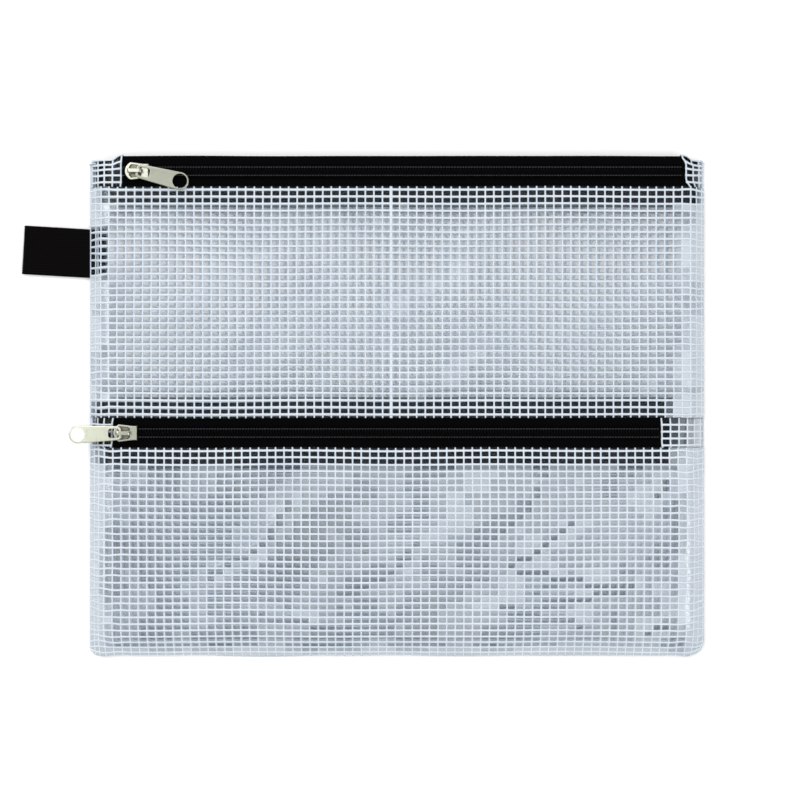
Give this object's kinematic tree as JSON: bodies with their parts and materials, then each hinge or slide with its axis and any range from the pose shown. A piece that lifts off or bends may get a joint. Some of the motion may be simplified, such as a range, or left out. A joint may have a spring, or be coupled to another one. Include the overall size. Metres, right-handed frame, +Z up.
{
  "type": "document wallet",
  "caption": "Flat zip pouch of clear thread-reinforced film with a zip along its top edge, a zipped front pocket, metal sliders with pulls and a plain woven side label.",
  "frame": {"origin": "middle of the back panel's outer face, which the wallet lies on", "axes": "+X along the zips from the closed slider end to the other end, +Y to the edge with the top zip, +Z up through the front"},
  "size_m": [0.3091, 0.2254, 0.0136],
  "materials": {
    "mesh_film": "clear glossy PVC film laminated over a white thread grid",
    "zip_tape": "black woven polyester tape",
    "zip_coil": "black nylon coil",
    "coil_cord": "black twisted cord inside the coil",
    "nickel_zinc": "bright nickel plate on die-cast zinc",
    "label_ribbon": "black woven satin ribbon, bare"
  },
  "bodies": {
    "wallet": {"back_panel": "mesh_film", "back_turned_edges": "mesh_film", "back_top_turn_up": "mesh_film", "front_upper_panel": "mesh_film", "front_lower_panel": "mesh_film", "divider_panel": "mesh_film", "divider_top_strip": "mesh_film", "top_zip_left_tab": "mesh_film", "top_zip_right_tab": "mesh_film", "mid_zip_left_tab": "mesh_film", "mid_zip_right_tab": "mesh_film", "top_zip_upper_tape": "zip_tape", "top_zip_lower_tape": "zip_tape", "mid_zip_upper_tape": "zip_tape", "mid_zip_lower_tape": "zip_tape", "top_zip_upper_coil": "zip_coil", "top_zip_lower_coil": "zip_coil", "mid_zip_upper_coil": "zip_coil", "mid_zip_lower_coil": "zip_coil", "top_zip_upper_cord": "coil_cord", "top_zip_lower_cord": "coil_cord", "mid_zip_upper_cord": "coil_cord", "mid_zip_lower_cord": "coil_cord", "label_sewn_end": "label_ribbon"},
    "top_slider": {"top_zip_slider": "nickel_zinc"},
    "top_pull": {"top_zip_pull": "nickel_zinc"},
    "mid_slider": {"mid_zip_slider": "nickel_zinc"},
    "mid_pull": {"mid_zip_pull": "nickel_zinc"},
    "label": {"label_flag": "label_ribbon"}
  },
  "joints": [
    {"name": "top_zip_slide", "type": "slide", "parent": "wallet", "child": "top_slider", "axis": [1, 0, 0], "range_m": [0, 0.2408], "deforming": ["top_zip_upper_coil", "top_zip_lower_coil"]},
    {"name": "top_pull_flip", "type": "hinge", "parent": "top_slider", "child": "top_pull", "pos_m": [-0.1163, 0.1057, 0.0117], "axis": [-0.2334, -0.9724, 0], "range_deg": [0, 180]},
    {"name": "mid_zip_slide", "type": "slide", "parent": "wallet", "child": "mid_slider", "axis": [1, 0, 0], "range_m": [0, 0.2352], "deforming": ["mid_zip_upper_coil", "mid_zip_lower_coil"]},
    {"name": "mid_pull_flip", "type": "hinge", "parent": "mid_slider", "child": "mid_pull", "pos_m": [-0.1239, -0.0119, 0.0117], "axis": [-0.0349, 0.9994, 0], "range_deg": [0, 180]},
    {"name": "label_flap", "type": "hinge", "parent": "wallet", "child": "label", "pos_m": [-0.1396, 0.0693, 0.00125], "axis": [0, 1, 0], "range_deg": [-85, 95], "stiffness_Nm_per_rad": 0.002}
  ]
}
